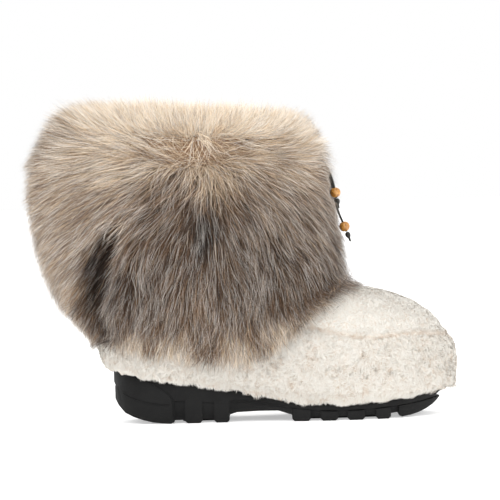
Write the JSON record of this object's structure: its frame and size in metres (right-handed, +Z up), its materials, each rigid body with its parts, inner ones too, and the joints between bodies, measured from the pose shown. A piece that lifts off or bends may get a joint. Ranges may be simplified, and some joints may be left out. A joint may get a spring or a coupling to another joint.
{
  "type": "winter boot",
  "caption": "Right ankle boot with a lugged cup sole, a sheared fleece foot and a deep turned-down fur cuff, with beaded cord ties at the front.",
  "frame": {"origin": "centre of the heel's resting face on the ground", "axes": "+X towards the toe, +Y towards the inner side of the foot, +Z up"},
  "size_m": [0.3579, 0.2058, 0.268],
  "materials": {
    "black_rubber": "matt moulded rubber with a fine grain",
    "cream_lining": "short wool pile",
    "cream_leather": "suede side of a sheepskin",
    "white_fleece": "sheared curly fleece",
    "brown_fur": "long banded guard hair over soft underfur",
    "black_cord": "waxed round cord",
    "amber_wood": "lacquered wood"
  },
  "bodies": {
    "root": {"outsole": "black_rubber", "insole": "cream_lining", "upper": "cream_leather", "foot_fleece": "white_fleece", "fur_cuff": "brown_fur", "tie_knot": "black_cord", "short_tie": "black_cord", "short_tie_bead": "amber_wood", "short_tie_end_knot": "black_cord", "long_tie": "black_cord", "long_tie_bead": "amber_wood", "long_tie_end_knot": "black_cord"}
  },
  "joints": []
}
